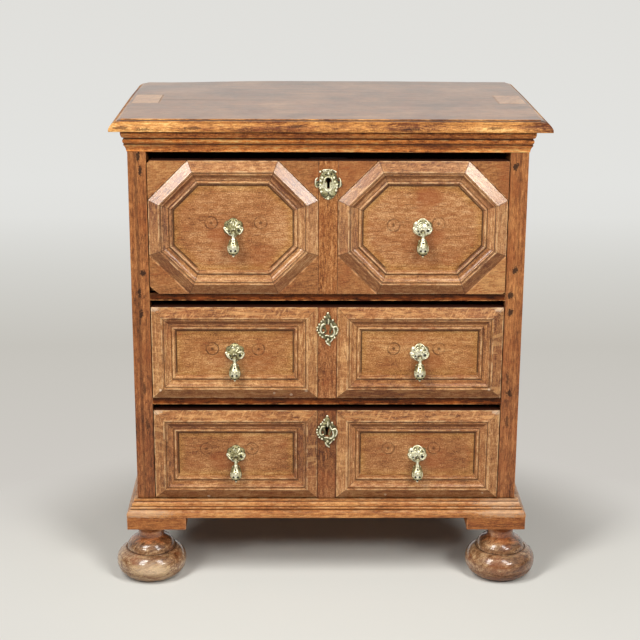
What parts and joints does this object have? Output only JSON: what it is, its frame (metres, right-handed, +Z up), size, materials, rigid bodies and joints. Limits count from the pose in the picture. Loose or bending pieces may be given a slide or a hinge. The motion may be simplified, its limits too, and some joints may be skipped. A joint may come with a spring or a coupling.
{
  "type": "dwarf chest of drawers",
  "caption": "Small oak chest of long drawers with mitred geometric mouldings, an octagon-panelled deep top drawer, brass pear drop handles, cast escutcheons, a moulded top and turned bun feet.",
  "frame": {"origin": "on the floor, under the middle of the whole chest", "axes": "+Z up, front faces -Y, +X to the right as seen from the front"},
  "size_m": [0.724, 0.478, 0.798],
  "materials": {
    "oak_carcass": "dark waxed oak",
    "oak_drawer": "mid brown waxed oak",
    "oak_honey": "honey brown waxed oak",
    "oak_top": "worn waxed oak",
    "oak_feet": "dark polished oak",
    "oak_inside": "dry unfinished oak",
    "brass": "old cast brass",
    "wire": "dull brass wire",
    "lock_iron": "dull iron"
  },
  "bodies": {
    "carcass": {"top_rail": "oak_carcass", "upper_drawer_rail": "oak_carcass", "lower_drawer_rail": "oak_carcass", "bottom_rail": "oak_carcass", "front_stile_left": "oak_carcass", "front_stile_right": "oak_carcass", "rear_stiles": "oak_carcass", "side_rails": "oak_carcass", "side_panels": "oak_carcass", "frame_pegs": "oak_carcass", "back_boards": "oak_inside", "drawer_runners": "oak_inside", "top_boards": "oak_top", "top_patches": "oak_top", "cornice_front": "oak_carcass", "cornice_sides": "oak_carcass", "base_moulding_front": "oak_carcass", "base_moulding_sides": "oak_carcass", "foot_blocks": "oak_carcass", "bun_feet_front": "oak_feet", "bun_feet_rear": "oak_feet"},
    "top_drawer": {"top_drawer_lock": "lock_iron", "top_drawer_front": "oak_drawer", "top_drawer_sides": "oak_inside", "top_drawer_back": "oak_inside", "top_drawer_bottom": "oak_inside", "top_drawer_mouldings": "oak_drawer", "top_drawer_strip": "oak_drawer", "top_drawer_escutcheon": "brass", "top_drawer_plates": "brass", "top_drawer_wires": "wire", "top_drawer_spandrels": "oak_drawer"},
    "top_drop_left": {"top_drawer_drop_left": "brass"},
    "top_drop_right": {"top_drawer_drop_right": "brass"},
    "top_bolt": {"top_drawer_bolt": "lock_iron"},
    "middle_drawer": {"middle_drawer_front": "oak_honey", "middle_drawer_sides": "oak_inside", "middle_drawer_back": "oak_inside", "middle_drawer_bottom": "oak_inside", "middle_drawer_mouldings": "oak_honey", "middle_drawer_strip": "oak_honey", "middle_drawer_escutcheon": "brass", "middle_drawer_plates": "brass", "middle_drawer_wires": "wire"},
    "middle_drop_left": {"middle_drawer_drop_left": "brass"},
    "middle_drop_right": {"middle_drawer_drop_right": "brass"},
    "bottom_drawer": {"bottom_drawer_lock": "lock_iron", "bottom_drawer_front": "oak_honey", "bottom_drawer_sides": "oak_inside", "bottom_drawer_back": "oak_inside", "bottom_drawer_bottom": "oak_inside", "bottom_drawer_mouldings": "oak_honey", "bottom_drawer_strip": "oak_honey", "bottom_drawer_escutcheon": "brass", "bottom_drawer_plates": "brass", "bottom_drawer_wires": "wire"},
    "bottom_drop_left": {"bottom_drawer_drop_left": "brass"},
    "bottom_drop_right": {"bottom_drawer_drop_right": "brass"},
    "bottom_bolt": {"bottom_drawer_bolt": "lock_iron"}
  },
  "joints": [
    {"name": "top_drawer_slide", "type": "slide", "parent": "carcass", "child": "top_drawer", "axis": [0, -1, 0], "range_m": [0, 0.3]},
    {"name": "top_drop_left_swing", "type": "hinge", "parent": "top_drawer", "child": "top_drop_left", "pos_m": [-0.153, -0.212, 0.61455], "axis": [-1, 0, 0], "range_deg": [0, 85]},
    {"name": "top_drop_right_swing", "type": "hinge", "parent": "top_drawer", "child": "top_drop_right", "pos_m": [0.153, -0.212, 0.61455], "axis": [-1, 0, 0], "range_deg": [0, 85]},
    {"name": "top_bolt_throw", "type": "slide", "parent": "top_drawer", "child": "top_bolt", "axis": [0, 0, 1], "range_m": [0, 0.018]},
    {"name": "middle_drawer_slide", "type": "slide", "parent": "carcass", "child": "middle_drawer", "axis": [0, -1, 0], "range_m": [0, 0.3]},
    {"name": "middle_drop_left_swing", "type": "hinge", "parent": "middle_drawer", "child": "middle_drop_left", "pos_m": [-0.153, -0.212, 0.40255], "axis": [-1, 0, 0], "range_deg": [0, 85]},
    {"name": "middle_drop_right_swing", "type": "hinge", "parent": "middle_drawer", "child": "middle_drop_right", "pos_m": [0.153, -0.212, 0.40255], "axis": [-1, 0, 0], "range_deg": [0, 85]},
    {"name": "bottom_drawer_slide", "type": "slide", "parent": "carcass", "child": "bottom_drawer", "axis": [0, -1, 0], "range_m": [0, 0.3]},
    {"name": "bottom_drop_left_swing", "type": "hinge", "parent": "bottom_drawer", "child": "bottom_drop_left", "pos_m": [-0.153, -0.212, 0.2228], "axis": [-1, 0, 0], "range_deg": [0, 85]},
    {"name": "bottom_drop_right_swing", "type": "hinge", "parent": "bottom_drawer", "child": "bottom_drop_right", "pos_m": [0.153, -0.212, 0.2228], "axis": [-1, 0, 0], "range_deg": [0, 85]},
    {"name": "bottom_bolt_throw", "type": "slide", "parent": "bottom_drawer", "child": "bottom_bolt", "axis": [0, 0, 1], "range_m": [0, 0.018]}
  ]
}
